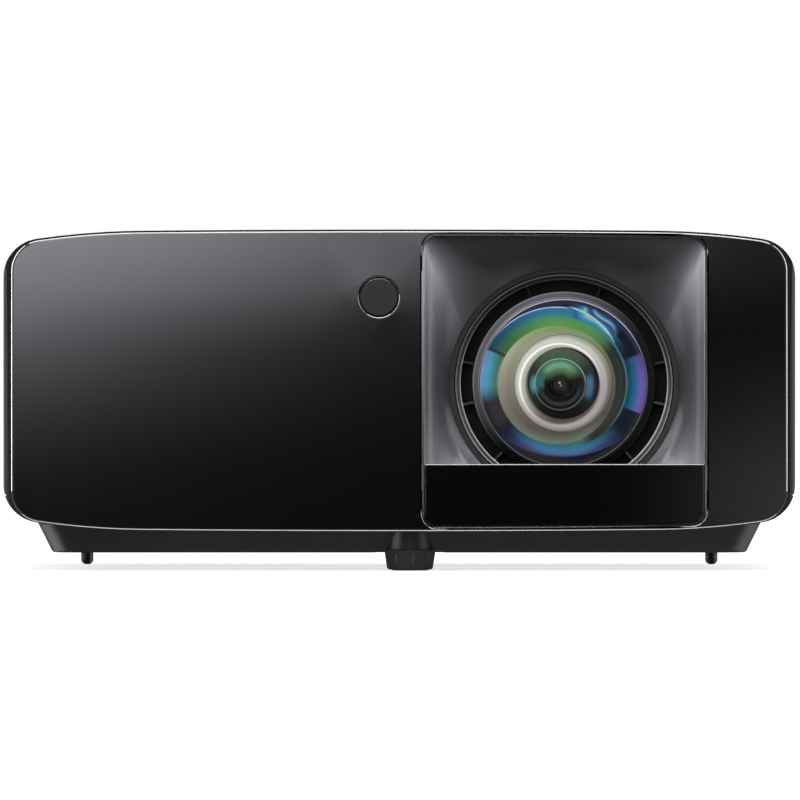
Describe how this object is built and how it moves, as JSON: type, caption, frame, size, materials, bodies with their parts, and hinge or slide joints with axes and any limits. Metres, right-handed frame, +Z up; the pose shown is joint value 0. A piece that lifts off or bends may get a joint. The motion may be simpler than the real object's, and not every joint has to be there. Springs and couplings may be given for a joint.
{
  "type": "home projector",
  "caption": "Low, wide gloss-black home video projector with a bowed front, a deep square lens recess, vented sides, a top keypad, rear sockets and screw feet.",
  "frame": {"origin": "on the surface the projector stands on, under the middle of the casing's width and depth", "axes": "+Z up; the lens faces -Y and the sockets face +Y; +X is to the viewer's right when facing the lens"},
  "size_m": [0.2754, 0.216, 0.1185],
  "materials": {
    "casing_black": "fine satin grain",
    "casing_gloss": "gloss black",
    "panel_gloss": "piano-black gloss",
    "window_black": "dark infra-red filter, satin",
    "recess_charcoal": "satin charcoal",
    "keypad_black": "satin",
    "key_black": "satin",
    "circuit_board": "green solder mask",
    "clear_plastic": "clear",
    "foot_black": "satin with grooves",
    "rubber": "matte",
    "screw_black": "black oxide",
    "screw_steel": "zinc plated",
    "brass": "machined",
    "barrel_black": "fine satin",
    "trim_black": "textured satin",
    "lens_glass": "polished, coated",
    "hood_grey": "pale satin",
    "casting": "die cast",
    "mirror": "mirror",
    "wheel_plate": "phosphor coated",
    "copper_brass": "copper alloy",
    "heat_sink": "extruded",
    "chip_ceramic": "fired ceramic",
    "fan_black": "satin",
    "supply_parts": "mixed components",
    "socket_steel": "stamped, tin plated",
    "socket_black": "moulded",
    "speaker_black": "satin"
  },
  "bodies": {
    "casing": {"bottom_case": "casing_black", "top_cover": "casing_gloss", "front_panel": "panel_gloss", "rear_panel": "casing_black", "infrared_window": "window_black", "lens_bezel": "recess_charcoal", "lens_lower_panel": "panel_gloss", "left_vent_panel": "casing_black", "right_vent_panel": "casing_black", "keypad_bezel": "keypad_black", "keypad_board": "circuit_board", "light_guides": "clear_plastic", "brass_inserts": "brass", "case_screws": "screw_steel", "lens_barrel": "barrel_black", "lens_trim_ring": "trim_black", "front_element": "lens_glass", "inner_hood": "hood_grey", "rear_lens_group": "lens_glass", "engine_housing": "casting", "engine_cover": "casting", "prism": "lens_glass", "light_tunnel": "mirror", "wheel_motor": "screw_steel", "laser_module": "copper_brass", "laser_heat_sink": "heat_sink", "image_board": "circuit_board", "image_chip": "chip_ceramic", "image_heat_sink": "heat_sink", "exhaust_fan_frame": "fan_black", "intake_fan_frame": "fan_black", "supply_board": "circuit_board", "supply_components": "supply_parts", "main_board": "circuit_board", "main_heat_sink": "heat_sink", "data_sockets": "socket_steel", "audio_jack": "socket_black", "power_inlet": "socket_black", "socket_contacts": "brass", "speaker": "speaker_black"},
    "focus_ring": {"focus_ring": "barrel_black"},
    "focus_group": {"focus_cell": "barrel_black", "focus_elements": "lens_glass"},
    "front_foot_pad": {"front_foot_pad": "rubber"},
    "front_foot_knob": {"front_foot_knob": "foot_black"},
    "exhaust_rotor": {"exhaust_fan_rotor": "fan_black"},
    "intake_rotor": {"intake_fan_rotor": "fan_black"},
    "phosphor_wheel": {"phosphor_wheel": "wheel_plate"},
    "rear_foot_pad_left": {"rear_foot_pad_left": "rubber"},
    "rear_foot_screw_left": {"rear_foot_screw_left": "screw_black"},
    "rear_foot_pad_right": {"rear_foot_pad_right": "rubber"},
    "rear_foot_screw_right": {"rear_foot_screw_right": "screw_black"},
    "power_button": {"power_button": "key_black"},
    "menu_button": {"menu_button": "key_black"},
    "source_button": {"source_button": "key_black"},
    "enter_button": {"enter_button": "key_black"},
    "up_button": {"up_button": "key_black"},
    "down_button": {"down_button": "key_black"},
    "left_button": {"left_button": "key_black"},
    "right_button": {"right_button": "key_black"}
  },
  "joints": [
    {"name": "focus_ring_turn", "type": "hinge", "parent": "casing", "child": "focus_ring", "pos_m": [0.0573, -0.085, 0.0652], "axis": [0, 1, 0], "range_deg": [-30, 30]},
    {"name": "focus_slide", "type": "slide", "parent": "casing", "child": "focus_group", "axis": [0, 1, 0], "range_m": [-0.0012, 0.0012]},
    {"name": "front_foot_turn", "type": "hinge", "parent": "front_foot_pad", "child": "front_foot_knob", "pos_m": [0.0037, -0.091, 0.003], "axis": [0, 0, -1], "range_deg": [0, 2880]},
    {"name": "front_foot_extension", "type": "slide", "parent": "casing", "child": "front_foot_pad", "axis": [0, 0, -1], "range_m": [0, 0.012]},
    {"name": "rear_foot_left_turn", "type": "hinge", "parent": "rear_foot_pad_left", "child": "rear_foot_screw_left", "pos_m": [-0.1127, 0.084, 0.003], "axis": [0, 0, -1], "range_deg": [0, 2000]},
    {"name": "rear_foot_left_extension", "type": "slide", "parent": "casing", "child": "rear_foot_pad_left", "axis": [0, 0, -1], "range_m": [0, 0.005]},
    {"name": "rear_foot_right_turn", "type": "hinge", "parent": "rear_foot_pad_right", "child": "rear_foot_screw_right", "pos_m": [0.1127, 0.084, 0.003], "axis": [0, 0, -1], "range_deg": [0, 2000]},
    {"name": "rear_foot_right_extension", "type": "slide", "parent": "casing", "child": "rear_foot_pad_right", "axis": [0, 0, -1], "range_m": [0, 0.005]},
    {"name": "power_button_press", "type": "slide", "parent": "casing", "child": "power_button", "axis": [0, 0, -1], "range_m": [0, 0.0006], "stiffness_N_per_m": 1500},
    {"name": "menu_button_press", "type": "slide", "parent": "casing", "child": "menu_button", "axis": [0, 0, -1], "range_m": [0, 0.0006], "stiffness_N_per_m": 1500},
    {"name": "source_button_press", "type": "slide", "parent": "casing", "child": "source_button", "axis": [0, 0, -1], "range_m": [0, 0.0006], "stiffness_N_per_m": 1500},
    {"name": "enter_button_press", "type": "slide", "parent": "casing", "child": "enter_button", "axis": [0, 0, -1], "range_m": [0, 0.0006], "stiffness_N_per_m": 1500},
    {"name": "up_button_press", "type": "slide", "parent": "casing", "child": "up_button", "axis": [0, 0, -1], "range_m": [0, 0.0006], "stiffness_N_per_m": 1500},
    {"name": "down_button_press", "type": "slide", "parent": "casing", "child": "down_button", "axis": [0, 0, -1], "range_m": [0, 0.0006], "stiffness_N_per_m": 1500},
    {"name": "left_button_press", "type": "slide", "parent": "casing", "child": "left_button", "axis": [0, 0, -1], "range_m": [0, 0.0006], "stiffness_N_per_m": 1500},
    {"name": "right_button_press", "type": "slide", "parent": "casing", "child": "right_button", "axis": [0, 0, -1], "range_m": [0, 0.0006], "stiffness_N_per_m": 1500},
    {"name": "exhaust_fan_spin", "type": "hinge", "parent": "casing", "child": "exhaust_rotor", "pos_m": [-0.1217, 0.017, 0.0652], "axis": [1, 0, 0], "continuous": true},
    {"name": "intake_fan_spin", "type": "hinge", "parent": "casing", "child": "intake_rotor", "pos_m": [0.1242, 0, 0.0652], "axis": [1, 0, 0], "continuous": true},
    {"name": "phosphor_wheel_spin", "type": "hinge", "parent": "casing", "child": "phosphor_wheel", "pos_m": [-0.0315, 0.0155, 0.0652], "axis": [1, 0, 0], "continuous": true}
  ],
  "couplings": [
    {"joint": "focus_ring_turn", "follows": "focus_slide", "rad_per_m": 436.33},
    {"joint": "front_foot_turn", "follows": "front_foot_extension", "rad_per_m": 4188.8},
    {"joint": "rear_foot_left_turn", "follows": "rear_foot_left_extension", "rad_per_m": 6981.3},
    {"joint": "rear_foot_right_turn", "follows": "rear_foot_right_extension", "rad_per_m": 6981.3}
  ]
}
